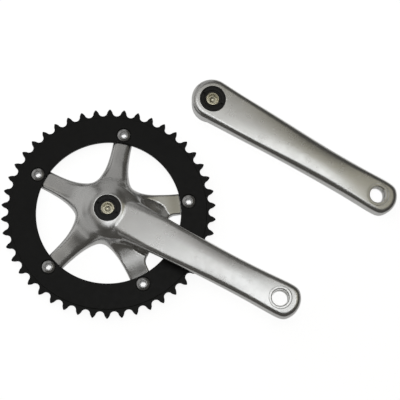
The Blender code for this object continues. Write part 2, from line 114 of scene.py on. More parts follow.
def threaded(name, radius, depth, pitch, low, high, chamfer, segments=48):
    # a round bar whose skin winds up and down once each pitch
    rows = int((high - low) / pitch * 8)
    heights = np.linspace(low, high, rows + 1)
    verts, faces = [(0, 0, high)], []
    for z in heights[::-1]:
        fade = min(1.0, (high - z) / chamfer, (z - low) / chamfer)
        for k in range(segments):
            turn = 2 * math.pi * k / segments
            phase = (z / pitch - k / segments) % 1.0
            r = radius - depth * (1 - fade) - depth * fade * (1 - abs(2 * phase - 1))
            verts.append((r * math.cos(turn), r * math.sin(turn), z))
    verts.append((0, 0, low))
    for k in range(segments):
        n = (k + 1) % segments
        faces.append((0, 1 + k, 1 + n))
        for row in range(rows):
            top = 1 + row * segments
            faces.append((top + k, top + segments + k, top + segments + n, top + n))
        last = 1 + rows * segments
        faces.append((len(verts) - 1, last + n, last + k))
    return makeObject(name, verts, faces)


def prism(name, outline, low, high):
    count = len(outline)
    verts = [(x, y, low) for x, y in outline] + [(x, y, high) for x, y in outline]
    faces = [tuple(reversed(range(count))), tuple(range(count, 2 * count))]
    for k in range(count):
        n = (k + 1) % count
        faces.append((k, n, count + n, count + k))
    return makeObject(name, verts, faces)


def hexagon(width):
    corner = width / math.sqrt(3)
    return [(corner * math.cos(k * math.pi / 3), corner * math.sin(k * math.pi / 3)) for k in range(6)]


def place(piece, matrix):
    piece.data.transform(matrix)
    return piece


def shift(x, y=0.0, z=0.0):
    return Matrix.Translation((x * mm, y * mm, z * mm))


def machine(piece, cutters, material=None):
    # every cutter at once, its own finish carried onto the faces it leaves
    bench = bpy.data.collections.new(piece.name + "Cutters")
    scene.collection.children.link(bench)
    for cutter in cutters:
        for owner in list(cutter.users_collection):
            owner.objects.unlink(cutter)
        bench.objects.link(cutter)
        if material and not cutter.data.materials:
            cutter.data.materials.append(material)
    step = piece.modifiers.new("machining", "BOOLEAN")
    step.operation = "DIFFERENCE"
    step.solver = "EXACT"
    step.operand_type = "COLLECTION"
    step.collection = bench
    step.material_mode = "TRANSFER"
    applyModifiers(piece)
    for cutter in cutters:
        bpy.data.objects.remove(cutter)
    bpy.data.collections.remove(bench)


# finishes
def addNode(tree, kind, **values):
    node = tree.nodes.new(kind)
    for key, value in values.items():
        if key in node.inputs:
            node.inputs[key].default_value = value
        else:
            setattr(node, key, value)
    return node


def noise(tree, coords, scale, detail):
    node = addNode(tree, "ShaderNodeTexNoise", Scale=scale, Detail=detail)
    tree.links.new(coords, node.inputs["Vector"])
    return node.outputs["Fac"]


def ranged(tree, value, low, high):
    node = addNode(tree, "ShaderNodeMapRange")
    node.inputs["From Min"].default_value = 0.3
    node.inputs["From Max"].default_value = 0.7
    node.inputs["To Min"].default_value = low
    node.inputs["To Max"].default_value = high
    tree.links.new(value, node.inputs["Value"])
    return node.outputs["Result"]


def finish(name, look):
    # a metal or anodised skin: two near colours, uneven gloss, fine grain, and lathe rings where asked
    made = bpy.data.materials.new(name)
    made.use_nodes = True
    tree = made.node_tree
    shader = tree.nodes["Principled BSDF"]
    shader.inputs["Metallic"].default_value = look["metallic"]
    if "specular" in look:
        shader.inputs["Specular IOR Level"].default_value = look["specular"]
    spot = addNode(tree, "ShaderNodeTexCoord").outputs["Object"]
    tint = addNode(tree, "ShaderNodeMix", data_type="RGBA")
    tree.links.new(ranged(tree, noise(tree, spot, look["patch"], 3.0), 0.0, 1.0), tint.inputs["Factor"])
    for socket, colour in zip([s for s in tint.inputs if s.type == "RGBA"], look["colours"]):
        socket.default_value = (*colour, 1.0)
    tree.links.new([s for s in tint.outputs if s.type == "RGBA"][0], shader.inputs["Base Color"])
    gloss = ranged(tree, noise(tree, spot, look["patch"] * 4, 2.0), *look["roughness"])
    tree.links.new(gloss, shader.inputs["Roughness"])
    grain = noise(tree, spot, look["grain"], 2.0)
    if "rings" in look:
        centre = addNode(tree, "ShaderNodeMapping")
        centre.inputs["Location"].default_value = [-c * mm for c in look["centre"]]
        tree.links.new(spot, centre.inputs["Vector"])
        wave = addNode(tree, "ShaderNodeTexWave", wave_type="RINGS", rings_direction="Z")
        wave.inputs["Scale"].default_value = look["rings"]
        wave.inputs["Distortion"].default_value = 0.4
        wave.inputs["Detail"].default_value = 1.0
        tree.links.new(centre.outputs["Vector"], wave.inputs["Vector"])
        both = addNode(tree, "ShaderNodeMath", operation="ADD")
        tree.links.new(grain, both.inputs[0])
        tree.links.new(wave.outputs["Fac"], both.inputs[1])
        grain = both.outputs["Value"]
    bump = addNode(tree, "ShaderNodeBump", Strength=look["bump"], Distance=0.0001)
    tree.links.new(grain, bump.inputs["Height"])
    tree.links.new(bump.outputs["Normal"], shader.inputs["Normal"])
    return made


satinAluminium = finish("satinAluminium", dict(
    colours=((0.70, 0.70, 0.69), (0.75, 0.745, 0.73)), metallic=1.0, roughness=(0.23, 0.28),
    patch=40.0, grain=2600.0, bump=0.012,
))
turnedHub = finish("turnedHub", dict(
    colours=((0.74, 0.74, 0.73), (0.79, 0.785, 0.77)), metallic=1.0, roughness=(0.20, 0.27),
    patch=60.0, grain=2600.0, bump=0.08, rings=900.0, centre=(0, 0, 0),
))
turnedPedal = finish("turnedPedal", dict(
    colours=((0.74, 0.74, 0.73), (0.79, 0.785, 0.77)), metallic=1.0, roughness=(0.20, 0.27),
    patch=60.0, grain=2600.0, bump=0.08, rings=900.0, centre=(170, 0, 0),
))
blackAnodised = finish("blackAnodised", dict(
    colours=((0.0085, 0.0085, 0.008), (0.012, 0.012, 0.0115)), metallic=0.0, specular=0.25,
    roughness=(0.42, 0.5), patch=50.0, grain=3000.0, bump=0.05, rings=500.0, centre=(0, 0, 0),
))
blackCap = finish("blackCap", dict(
    colours=((0.010, 0.010, 0.010), (0.014, 0.014, 0.013)), metallic=0.0, specular=0.35,
    roughness=(0.32, 0.4), patch=120.0, grain=3000.0, bump=0.05,
))
boltAlloy = finish("boltAlloy", dict(
    colours=((0.50, 0.50, 0.50), (0.58, 0.58, 0.575)), metallic=1.0, roughness=(0.24, 0.32),
    patch=150.0, grain=2600.0, bump=0.05,
))
zincSteel = finish("zincSteel", dict(
    colours=((0.66, 0.62, 0.47), (0.72, 0.69, 0.55)), metallic=1.0, roughness=(0.22, 0.32),
    patch=150.0, grain=2400.0, bump=0.06,
))
washerNylon = finish("washerNylon", dict(
    colours=((0.72, 0.71, 0.66), (0.78, 0.77, 0.73)), metallic=0.0, roughness=(0.45, 0.55),
    patch=150.0, grain=2000.0, bump=0.05,
))
print("finishes made")


# repeats a piece round the crank axis: teeth, bolts, nuts, holes
def aroundAxisTree():
    tree = bpy.data.node_groups.new("aroundAxis", "GeometryNodeTree")
    face = tree.interface
    face.new_socket("Geometry", in_out="INPUT", socket_type="NodeSocketGeometry")
    for label, kind in (("Count", "NodeSocketInt"), ("First Turn", "NodeSocketFloat"),
                        ("Weld", "NodeSocketFloat"), ("Finish", "NodeSocketMaterial")):
        face.new_socket(label, in_out="INPUT", socket_type=kind)
    face.new_socket("Geometry", in_out="OUTPUT", socket_type="NodeSocketGeometry")
    start = tree.nodes.new("NodeGroupInput")
    end = tree.nodes.new("NodeGroupOutput")
    points = tree.nodes.new("GeometryNodePoints")
    index = tree.nodes.new("GeometryNodeInputIndex")
    share = addNode(tree, "ShaderNodeMath", operation="DIVIDE")
    share.inputs[0].default_value = 2 * math.pi
    turn = addNode(tree, "ShaderNodeMath", operation="MULTIPLY_ADD")
    spin = addNode(tree, "FunctionNodeAxisAngleToRotation")
    spin.inputs["Axis"].default_value = (0, 0, 1)
    copies = tree.nodes.new("GeometryNodeInstanceOnPoints")
    real = tree.nodes.new("GeometryNodeRealizeInstances")
    weld = tree.nodes.new("GeometryNodeMergeByDistance")
    paint = tree.nodes.new("GeometryNodeSetMaterial")
    links = tree.links
    links.new(start.outputs["Count"], points.inputs["Count"])
    links.new(start.outputs["Count"], share.inputs[1])
    links.new(index.outputs["Index"], turn.inputs[0])
    links.new(share.outputs["Value"], turn.inputs[1])
    links.new(start.outputs["First Turn"], turn.inputs[2])
    links.new(turn.outputs["Value"], spin.inputs["Angle"])
    links.new(points.outputs["Points"], copies.inputs["Points"])
    links.new(start.outputs["Geometry"], copies.inputs["Instance"])
    links.new(spin.outputs["Rotation"], copies.inputs["Rotation"])
    links.new(copies.outputs["Instances"], real.inputs["Geometry"])
    links.new(real.outputs["Geometry"], weld.inputs["Geometry"])
    links.new(start.outputs["Weld"], weld.inputs["Distance"])
    links.new(weld.outputs["Geometry"], paint.inputs["Geometry"])
    links.new(start.outputs["Finish"], paint.inputs["Material"])
    links.new(paint.outputs["Geometry"], end.inputs["Geometry"])
    return tree


aroundAxis = aroundAxisTree()


def repeat(piece, count, firstTurn, material, weld=0.000002):
    step = piece.modifiers.new("around", "NODES")
    step.node_group = aroundAxis
    sockets = {s.name: s.identifier for s in aroundAxis.interface.items_tree if s.in_out == "INPUT"}
    step[sockets["Count"]] = count
    step[sockets["First Turn"]] = firstTurn
    step[sockets["Weld"]] = weld
    step[sockets["Finish"]] = material
    applyModifiers(piece)
    return piece


# forged skins: a field that is negative inside the metal, and a net of quads drawn over its zero
def smoothMin(a, b, k):
    near = np.maximum(k - np.abs(a - b), 0.0) / k
    return np.minimum(a, b) - near * near * k * 0.25


def smoothMax(a, b, k):
    return -smoothMin(-a, -b, k)


def curve(points):
    # a smooth line through (place, value) points, kept as a fine table
    at, value = np.array(points, float).T
    fine = np.arange(at[0], at[-1] + 0.2, 0.2)
    slope = np.gradient(value, at)
    i = np.clip(np.searchsorted(at, fine, side="right") - 1, 0, len(at) - 2)
    span = at[i + 1] - at[i]
    t = np.clip((fine - at[i]) / span, 0, 1)
    table = (value[i] * (1 + 2 * t) * (1 - t) ** 2 + span * slope[i] * t * (1 - t) ** 2
             + value[i + 1] * t * t * (3 - 2 * t) + span * slope[i + 1] * t * t * (t - 1))
    blur = np.hanning(41)
    padded = np.pad(table, 20, mode="reflect", reflect_type="odd")
    table = np.convolve(padded, blur / blur.sum(), mode="valid")
    return lambda place: np.interp(place, fine, table)


def drawNet(name, field, low, high, step):
    axes = [np.arange(low[i], high[i] + step, step) for i in range(3)]
    values = np.asarray(field(*np.meshgrid(*axes, indexing="ij", sparse=True)), np.float32)
    inside = values < 0
    size = [n - 1 for n in values.shape]
    offsets = [(i, j, k) for i in (0, 1) for j in (0, 1) for k in (0, 1)]
    filled = np.zeros(size, np.int8)
    for i, j, k in offsets:
        filled += inside[i:size[0] + i, j:size[1] + j, k:size[2] + k]
    mixed = (filled > 0) & (filled < 8)
    cells = np.argwhere(mixed)
    number = np.full(size, -1, np.int64)
    number[mixed] = np.arange(len(cells))
    corner = np.stack([values[cells[:, 0] + i, cells[:, 1] + j, cells[:, 2] + k] for i, j, k in offsets], 1)
    total = np.zeros((len(cells), 3))
    crossings = np.zeros(len(cells))
    for a in range(8):
        for b in range(a + 1, 8):
            pa, pb = np.array(offsets[a], float), np.array(offsets[b], float)
            if np.abs(pa - pb).sum() != 1:
                continue
            va, vb = corner[:, a], corner[:, b]
            cross = (va < 0) != (vb < 0)
            t = np.where(cross, va / np.where(cross, va - vb, 1.0), 0.0)
            total += np.where(cross[:, None], pa + (pb - pa) * t[:, None], 0.0)
            crossings += cross
    points = np.array(low) + (cells + total / crossings[:, None]) * step
    quads = []
    for axis in range(3):
        u, v = (axis + 1) % 3, (axis + 2) % 3
        front = [slice(1, n) for n in size]
        front[axis] = slice(0, size[axis])
        back = list(front)
        back[axis] = slice(1, size[axis] + 1)
        here, there = inside[tuple(front)], inside[tuple(back)]
        for flip in (False, True):
            edge = np.argwhere((here & ~there) if not flip else (~here & there))
            edge[:, u] += 1
            edge[:, v] += 1
            ring = []
            for du, dv in ((1, 1), (0, 1), (0, 0), (1, 0)):
                cell = edge.copy()
                cell[:, u] -= du
                cell[:, v] -= dv
                ring.append(number[cell[:, 0], cell[:, 1], cell[:, 2]])
            quad = np.stack(ring, 1)
            quads.append(quad[:, ::-1] if flip else quad)
    faces = np.concatenate(quads)
    ends = np.concatenate([faces[:, [i, (i + 1) % 4]] for i in range(4)])
    ends = np.concatenate([ends, ends[:, ::-1]])
    degree = np.bincount(ends[:, 0], minlength=len(points))
    for turn in range(9):  # settle the net onto the true skin, then even out its spacing along the skin
        reach = 0.05
        level = field(*points.T)
        slope = np.stack([
            (field(*(points + reach * axis).T) - field(*(points - reach * axis).T)) / (2 * reach)
            for axis in np.eye(3)
        ], 1)
        steep = np.maximum((slope ** 2).sum(1), 0.05)[:, None]
        points -= np.clip(level[:, None] / steep * slope, -0.4 * step, 0.4 * step)
        if 2 < turn < 8:
            mean = np.stack([
                np.bincount(ends[:, 0], points[ends[:, 1], i], len(points)) for i in range(3)
            ], 1)
            drift = mean / degree[:, None] - points
            points += 0.6 * (drift - (drift * slope).sum(1)[:, None] / steep * slope)
    made = makeObject(name, points, faces.tolist())
    print(name, "net:", len(faces), "quads")
    return made


bore = dict(radius=11.7, floor=15.5, chamfer=0.35, face=25.5, spot=12.6)
arm = dict(length=170.0, end=18.1, corner=3.0, backEdge=2.0)
armWidth = curve(((0, 18.7), (20, 17.9), (50, 17.3), (75, 16.7), (100, 15.9), (125, 15.3), (145, 15.1),
                  (170, 15.6)))
armDraft = curve(((0, 2.4), (30, 2.1), (60, 1.8), (85, 1.7), (105, 1.3), (130, 0.7), (155, 0.1),
                  (170, 0.0)))
# the drive arm alone narrows into its hub, with softer edges there
driveNose = curve(((-20, 4.0), (0, 4.0), (6, 1.6), (12, -0.6), (20, -1.8), (28, -1.2), (38, -0.3),
                   (48, 0.0), (190, 0.0)))
driveSoft = curve(((-20, 3.0), (0, 4.0), (10, 5.5), (20, 5.5), (32, 3.0), (45, 0.6), (55, 0.0),
                   (190, 0.0)))
armEdge = curve(((0, 4.8), (20, 4.8), (40, 5.0), (60, 5.3), (90, 5.8), (125, 5.8), (150, 5.2), (170, 4.8)))
armFace = curve(((-20, 25.4), (0, 25.45), (12, 25.6), (25, 26.1), (50, 27.2), (75, 28.4), (100, 29.7),
                 (125, 31.2), (150, 32.6), (170, 33.5), (190, 34.0)))
armBack = curve(((-20, 4.0), (0, 4.0), (30, 7.0), (50, 10.8), (62, 13.0), (80, 14.6), (120, 17.6),
                 (170, 21.0), (190, 21.6)))
armCrown = curve(((-20, 0.3), (0, 0.3), (30, 0.45), (60, 0.9), (90, 1.4), (120, 1.4), (145, 0.9),
                  (170, 0.5), (190, 0.5)))


def barField(x, y, z, nose=0.0, soft=0.0):
    along = np.clip(x, 0.0, arm["length"])
    top, low = armFace(x), armBack(x)
    half = armWidth(along) - armDraft(along) * np.clip((top - 4 - z) / (top - 4 - low), 0, 1) - nose
    across = np.hypot(np.minimum(x, 0.0), y)
    blunt = np.hypot(x - arm["length"], y) - arm["end"]
    side = np.where(x > arm["length"], smoothMax(across - half, blunt, arm["corner"]), across - half)
    face = z - top + armCrown(x) * np.minimum(across / half, 1.2) ** 2
    body = smoothMax(side, face, armEdge(along) + soft)
    return smoothMax(body, low - z, arm["backEdge"])


def bossField(x, y, z):
    boss = dict(radius=16.2, edge=0.9, top=12.0)
    wall = smoothMax(np.hypot(x, y) - boss["radius"], -z, boss["edge"])
    return np.maximum(wall, z - boss["top"])


spider = dict(arms=5, boltCircle=72.0, tab=8.6, cornerFillet=3.0, hubFillet=6.0, armFillet=4.5,
              backEdge=1.6, rootFillet=11.0)
spiderWidth = curve(((0, 26), (12, 21.5), (24, 16.1), (28, 14.0), (34, 11.6), (41, 9.9), (52, 8.7),
                     (72, 8.6), (90, 8.6)))
spiderFace = curve(((0, 25), (12, 24.2), (18, 22.4), (24, 20.0), (28, 17.8), (36, 14.2), (45, 11.6),
                    (55, 9.75), (64, 8.1), (72, 7.0), (90, 6.4)))
webFace = curve(((0, 25), (12, 24.2), (18, 22.4), (24, 19.8), (30, 16.2), (36, 13.4), (40, 12.4),
                 (55, 9.7), (66, 7.4), (90, 6.4)))
spiderBack = curve(((0, 9.8), (18, 9.6), (28, 8.0), (40, 4.6), (52, 2.2), (60, 1.6), (72, 1.6), (90, 1.6)))
hubCrown = curve(((0, 25.6), (11.4, 25.6), (13.4, 25.4), (16, 24.4), (20, 22.0), (24, 19.2), (28, 16.0),
                  (40, 6.0)))
web = dict(start=12.0, endX=49.2, half=10.0, fillet=4.0, edge=1.4)


def webPlane(x, beside):
    return webFace(x * math.cos(math.radians(36)) + beside * math.sin(math.radians(36)))


def spiderField(x, y, z):
    radius = np.hypot(x, y)
    beside = np.abs(y)
    plan = np.maximum(x - web["endX"], web["start"] - x)
    plan = np.maximum(plan, beside - math.tan(math.radians(36)) * x)
    for k in range(spider["arms"]):
        turn = math.radians(36 + 72 * k)
        along = x * math.cos(turn) + y * math.sin(turn)
        across = y * math.cos(turn) - x * math.sin(turn)
        half = spiderWidth(np.maximum(along, 0))
        if k in (0, 4):  # wider on the side of the crank arm
            half = np.where(across * (2 - k) < 0, np.maximum(half, web["half"]), half)
        side = np.where(along < 0, 60.0, np.abs(across) - half)
        tip = np.hypot(along - spider["boltCircle"], across) - spider["tab"]
        reach = np.where(along > spider["boltCircle"], tip, side)
        plan = smoothMin(plan, reach, web["fillet"] if k in (0, 4) else spider["cornerFillet"])
    edge = np.interp(radius, (25, 62), (7.0, 4.5))
    edge = edge + (web["edge"] - edge) * np.clip((x - 18) / 14, 0, 1)
    rightward = np.clip((x - 10) / 15, 0, 1)
    face = spiderFace(radius) * (1 - rightward) + webPlane(x, beside) * rightward
    body = smoothMax(plan, z - face, edge)
    return smoothMax(body, spiderBack(radius) - z, spider["backEdge"])


hub = dict(radius=26.0, edge=3.0, back=8.4, backEdge=2.0, bossFillet=2.5,
           shoulderTurn=62, shoulderSpan=58, shoulderReach=0.24, shoulderEdge=6.0)


def hubField(x, y, z):
    radius = np.hypot(x, y)
    # a broader shoulder below the crank arm's root
    aside = np.abs(np.arctan2(y, x) + math.radians(hub["shoulderTurn"]))
    shoulder = np.clip(1 - aside / math.radians(hub["shoulderSpan"]), 0, 1)
    shoulder = shoulder * shoulder * (3 - 2 * shoulder)
    crown = hubCrown(radius * (1 - hub["shoulderReach"] * shoulder))
    disc = smoothMax(radius - hub["radius"], z - crown, hub["edge"] + hub["shoulderEdge"] * shoulder)
    disc = smoothMax(disc, hub["back"] - z, hub["backEdge"])
    return smoothMin(disc, bossField(x, y, z), hub["bossFillet"])


groove = dict(start=19.0, root=12.0, fade=6.0, edge=0.7, lip=0.8)
upperGroove = curve(((15, 18), (21, 23.8), (24, 25.5), (27, 26.5), (31, 27.4), (36, 27.9), (41, 27.4),
                     (44, 25.6), (47, 23.4), (50, 22.6), (60, 22)))
lowerGroove = curve(((20, 12), (28, 16.2), (30, 17.6), (32, 18.6), (36, 19.5), (50, 19.5), (60, 19.5)))


def grooveField(x, y, z, edge, deep, reach):
    # a channel beside the crank arm, open to the web's outer end, its floor falling towards the arm
    plan = 0.9 * (y - edge(x))
    plan = np.maximum(smoothMax(plan, groove["start"] - x, groove["fade"]), groove["root"] - y)
    floor = webPlane(x, y) - groove["lip"] * np.clip(-plan, 0, 1)
    floor = floor - (deep - groove["lip"]) * np.clip(-plan / reach, 0, 1)
    return smoothMax(plan, floor - z, groove["edge"])


def rightField(x, y, z):
    body = smoothMin(hubField(x, y, z), spiderField(x, y, z), spider["hubFillet"])
    for side, edge, deep, reach in ((1, upperGroove, 5.4, 9.0), (-1, lowerGroove, 3.4, 3.0)):
        body = smoothMax(body, -grooveField(x, side * y, z, edge, deep, reach), groove["edge"])
    # the bar flows into the hub's crown; the fillet closes towards their level tops and the boss
    fillet = np.interp(x, (6, 32), (spider["rootFillet"], spider["armFillet"]))
    fillet = 0.5 + (fillet - 0.5) * np.interp(z, (2.0, 8.0, 22.0, 25.0), (0.0, 1.0, 1.0, 0.0))
    return smoothMin(body, barField(x, y, z, driveNose(x), driveSoft(x)), fillet)


def leftField(x, y, z):
    return smoothMin(barField(x, y, z), bossField(x, y, z), 2.0)


# machined features that both arms share
socket = dict(half=6.45, taper=2.0)
eye = dict(x=170.0, face=32.6, back=21.4, hole=7.0, mouth=8.2, spot=9.6, thread=0.35, pitch=1.27)


def armCutters():
    top = bore["face"] + 6
    spotFace = turned("hubSpot", [
        (0, top), (bore["spot"] + 0.35, top), (bore["spot"], bore["face"]),
        (bore["radius"] + bore["chamfer"], bore["face"]), (bore["radius"], bore["face"] - bore["chamfer"]),
        (bore["radius"], bore["floor"]), (0, bore["floor"]),
    ], 128)
    verts, faces = [], [(0, 1, 2, 3), (7, 6, 5, 4)]
    for z in (bore["floor"] + 1, -1):
        half = socket["half"] - z * math.tan(math.radians(socket["taper"]))
        verts += [(half, half, z), (-half, half, z), (-half, -half, z), (half, -half, z)]
    for k in range(4):
        n = (k + 1) % 4
        faces.append((k, 4 + k, 4 + n, n))
    taper = makeObject("taperSocket", verts, faces)
    for cutter in (spotFace, taper):
        dress(cutter, turnedHub)
    over = 8
    seat = turned("pedalSpot", soften([
        (0, eye["face"] + over), (eye["spot"] + 0.9, eye["face"] + over),
        (eye["spot"] + 0.75, eye["face"] + 0.95), (eye["spot"], eye["face"]),
        (eye["mouth"], eye["face"]), (eye["hole"] + 0.3, eye["face"] - 0.9), (0, eye["face"] - 0.9),
    ]), 96)
    under = turned("pedalSpotBack", [
        (0, eye["back"] + 0.9), (eye["hole"] + 0.3, eye["back"] + 0.9), (eye["mouth"], eye["back"]),
        (eye["spot"], eye["back"]), (eye["spot"], eye["back"] - over), (0, eye["back"] - over),
    ], 96)
    thread = threaded("pedalThread", eye["hole"] + eye["thread"] * 0.5, eye["thread"], eye["pitch"],
                      eye["back"] - 1, eye["face"] + 1, 0.5, 64)
    for cutter in (seat, under, thread):
        place(cutter, shift(eye["x"]))
        dress(cutter, turnedPedal)
    return [spotFace, taper, seat, under, thread]


rightArm = drawNet("rightArm", rightField, (-83.3, -79.3, -1.3), (190.3, 79.5, 35.5), 0.72)
seatRing = turned("ringSeat", [(64.2, 11.4), (97, 11.4), (97, 5.7), (64.2, 5.7)], 256, closed=True)
tabHole = turned("tabHole", [(0, 9), (5.1, 9), (5.1, 2.2), (5.6, 1.5), (5.6, -1), (0, -1)], 40)
repeat(place(tabHole, shift(72)), 5, math.radians(36), turnedHub)
dress(seatRing, turnedHub)
dress(rightArm, satinAluminium)
machine(rightArm, armCutters() + [seatRing, tabHole])
shade(rightArm)
print("drive arm machined:", len(rightArm.data.polygons), "faces")

leftPose = Matrix((
    (0.9920483, 0.0296664, 0.1223113, 0.0313),
    (-0.0294434, 0.9995599, -0.0036301, 0.1321),
    (-0.1223651, 0.0, 0.9924852, 0.0019089),
    (0.0, 0.0, 0.0, 1.0),
))
leftArm = drawNet("leftArm", leftField, (-21.5, -21.5, -1.3), (190.3, 21.5, 35.5), 0.62)
dress(leftArm, satinAluminium)
machine(leftArm, armCutters())
shade(leftArm)
place(leftArm, leftPose)
print("left arm machined:", len(leftArm.data.polygons), "faces")

# chainring: one tooth's share of the ring, drawn tip in the middle, then repeated
ring = dict(teeth=46, pitch=12.7, roller=3.95, tip=95.4, tipHalf=0.7, phase=32.2, inner=64.5, step=87.6,
            back=5.8, face=9.8, toothBack=6.3, toothFace=9.3, chamfer=0.45)


def toothOutline(shrink):
    half = math.pi / ring["teeth"]
    pitchRadius = ring["pitch"] / (2 * math.sin(half))
    points = []
    for a in np.radians(np.linspace(0, 64, 7)):
        seat = ring["roller"] + shrink * 0.3
        radius = pitchRadius - seat * math.cos(a)
        points.append((-half + seat * math.sin(a) / radius, radius))
    tip = ring["tip"] - shrink
    last = points[-1]
    corner = (-ring["tipHalf"] / tip, tip - 0.35)
    for t in (0.25, 0.5, 0.75, 1.0):
        bulge = 0.35 * math.sin(math.pi * t) / tip
        points.append((last[0] + (corner[0] - last[0]) * t - bulge, last[1] + (corner[1] - last[1]) * t))
    points.append((-ring["tipHalf"] * 0.55 / tip, tip - 0.08))
    points.append((0.0, tip))
    return points + [(-a, r) for a, r in points[-2::-1]]


def toothSector():
    rim = toothOutline(0.0)
    eased = toothOutline(0.9)
    c = ring["chamfer"]

    def circle(radius, z):
        return [(radius * math.cos(a), radius * math.sin(a), z) for a, r in rim]

    def edge(outline, z):
        return [(r * math.cos(a), r * math.sin(a), z) for a, r in outline]

    loops = [
        circle(ring["inner"] + c, ring["back"]), circle(ring["step"] - 0.5, ring["back"]),
        circle(ring["step"], ring["toothBack"]), edge(eased, ring["toothBack"]),
        edge(rim, ring["toothBack"] + 0.75), edge(rim, ring["toothFace"] - 0.75),
        edge(eased, ring["toothFace"]), circle(ring["step"], ring["toothFace"]),
        circle(ring["step"] - 0.5, ring["face"]), circle(ring["inner"] + c, ring["face"]),
        circle(ring["inner"], ring["face"] - c), circle(ring["inner"], ring["back"] + c),
    ]
    count = len(rim)
    verts = [v for loop in loops for v in loop]
    faces = []
    for k in range(len(loops)):
        low, high = k * count, (k + 1) % len(loops) * count
        for i in range(count - 1):
            faces.append((low + i, low + i + 1, high + i + 1, high + i))
    return makeObject("chainring", verts, faces)


chainring = repeat(toothSector(), ring["teeth"], math.radians(ring["phase"]), blackAnodised, 0.000004)
ringHole = turned("ringHole", [(0, 11), (6.9, 11), (6.9, 10), (6.4, 9.5), (6.4, 8.8), (5.1, 8.8),
                               (5.1, 6.2), (5.5, 5.8), (5.5, 5), (0, 5)], 48)
repeat(place(ringHole, shift(72)), 5, math.radians(36), blackAnodised)
machine(chainring, [ringHole])
shade(chainring)
print("chainring:", len(chainring.data.polygons), "faces")

# chainring bolts and their sleeve nuts
ringBolt = dict(seat=8.9, head=6.1, height=1.9, shank=3.9, end=2.4, key=5.0)


def chainringBolts():
    b = ringBolt
    top = b["seat"] + b["height"]
    profile = soften([
        (0, top), (3.6, top, 0.3), (b["head"] - 0.2, b["seat"] + 0.9, 1.0), (b["head"], b["seat"], 0.15),
        (b["shank"], b["seat"]), (b["shank"], b["end"], 0.4), (0, b["end"]),
    ])
    bolt = turned("chainringBolts", profile, 64)
    key = prism("key", hexagon(b["key"]), 0, 20)
    lead = turned("lead", [(0, top + 1), (4.2, top + 1), (2.6, top - 0.6), (0, top - 0.6)], 48)
    dress(bolt, boltAlloy)
    machine(bolt, [key, lead], boltAlloy)
    return repeat(place(bolt, shift(72)), 5, math.radians(36), boltAlloy)


def chainringNuts():
    profile = soften([
        (4.0, 8.3), (5.0, 8.3, 0.3), (5.0, 1.5), (6.2, 1.5, 0.2), (6.2, 0, 0.3), (4.0, 0, 0.3),
    ])
    nut = turned("chainringNuts", profile, 64, closed=True)
    slotCut = prism("slotCut", [(-8, -1.1), (8, -1.1), (8, 1.1), (-8, 1.1)], -1, 0.7)
    dress(nut, boltAlloy)
    machine(nut, [slotCut], boltAlloy)
    return repeat(place(nut, shift(72)), 5, math.radians(36), boltAlloy)


ringBolts = chainringBolts()
ringNuts = chainringNuts()
for piece in (ringBolts, ringNuts):
    shade(piece)
print("ring bolts and nuts made")

# what each extractor bore holds
stack = dict(washerLow=15.6, washerTop=17.2, flangeLow=17.3, flangeTop=20.3, thrustLow=21.4, thrustTop=22.2,
             capLow=22.3, capTop=25.3, boltTop=25.1)


def crankBolt(name):
    s = stack
    body = turned(name, soften([
        (0, s["boltTop"]), (5.8, s["boltTop"], 0.5), (5.8, s["flangeTop"]), (9.6, s["flangeTop"], 0.3),
        (9.6, s["flangeLow"], 0.3), (3.7, s["flangeLow"]), (3.7, 15.2), (0, 15.2),
    ]), 96)
    shank = threaded(name + "Shank", 4.0, 0.45, 1.0, 3.0, 15.4, 1.0)
    join = body.modifiers.new("shank", "BOOLEAN")
    join.operation = "UNION"
    join.object = shank
    applyModifiers(body)
    bpy.data.objects.remove(shank)
    dress(body, zincSteel)
    key = prism("key", hexagon(8.0), s["boltTop"] - 4.4, 30)
    lead = turned("lead", [(0, 27), (6.1, 27), (4.2, s["boltTop"] - 0.5), (0, s["boltTop"] - 0.5)], 64)
    drill = turned("drill", [(0, 22), (2.6, 22), (2.6, s["boltTop"] - 5.2), (0, s["boltTop"] - 6.4)], 48)
    machine(body, [key, lead, drill], zincSteel)
    return body


def extractorCap(name):
    s = stack
    body = turned(name, soften([
        (6.2, s["capTop"] - 0.5, 0.12), (7.6, s["capTop"] - 0.5), (7.95, s["capTop"], 0.2),
        (10.3, s["capTop"]), (10.4, s["capTop"] - 0.12), (10.6, s["capTop"] - 0.12), (10.7, s["capTop"]),
        (11.6, s["capTop"], 0.3), (11.6, s["capLow"], 0.2), (6.2, s["capLow"], 0.2),
    ]), 96, closed=True)
    dress(body, blackCap)
    pinHole = [(0, 27), (1.1, 27), (1.1, 23.9), (0, 23.3)]
    holes = [place(turned("pinHole", pinHole, 32), shift(x)) for x in (-9.3, 9.3)]
    machine(body, holes, blackCap)
    return body


def flatRing(name, inner, outer, low, high, material):
    ringPiece = turned(name, soften([
        (inner, high, 0.15), (outer, high, 0.2), (outer, low, 0.2), (inner, low, 0.15),
    ]), 96, closed=True)
    dress(ringPiece, material)
    return ringPiece


upright = Matrix.Identity(4)
for side, pose, armBody in (("right", upright, "drive_side"), ("left", leftPose, "left_side")):
    s = stack
    made = (
        (crankBolt(side + "CrankBolt"), side + "_crank_bolt", side + "_bolt", "zinc_steel"),
        (extractorCap(side + "ExtractorCap"), side + "_extractor_cap", armBody, "black_anodised"),
        (flatRing(side + "BoltWasher", 4.3, 10.2, s["washerLow"], s["washerTop"], zincSteel),
         side + "_bolt_washer", side + "_washer", "zinc_steel"),
        (flatRing(side + "ThrustWasher", 6.2, 10.2, s["thrustLow"], s["thrustTop"], washerNylon),
         side + "_thrust_washer", armBody, "nylon"),
    )
    for piece, node, body, finishSlot in made:
        shade(piece)
        place(piece, pose)
        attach(piece, body)
        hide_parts(node)
print("bolt stacks made")

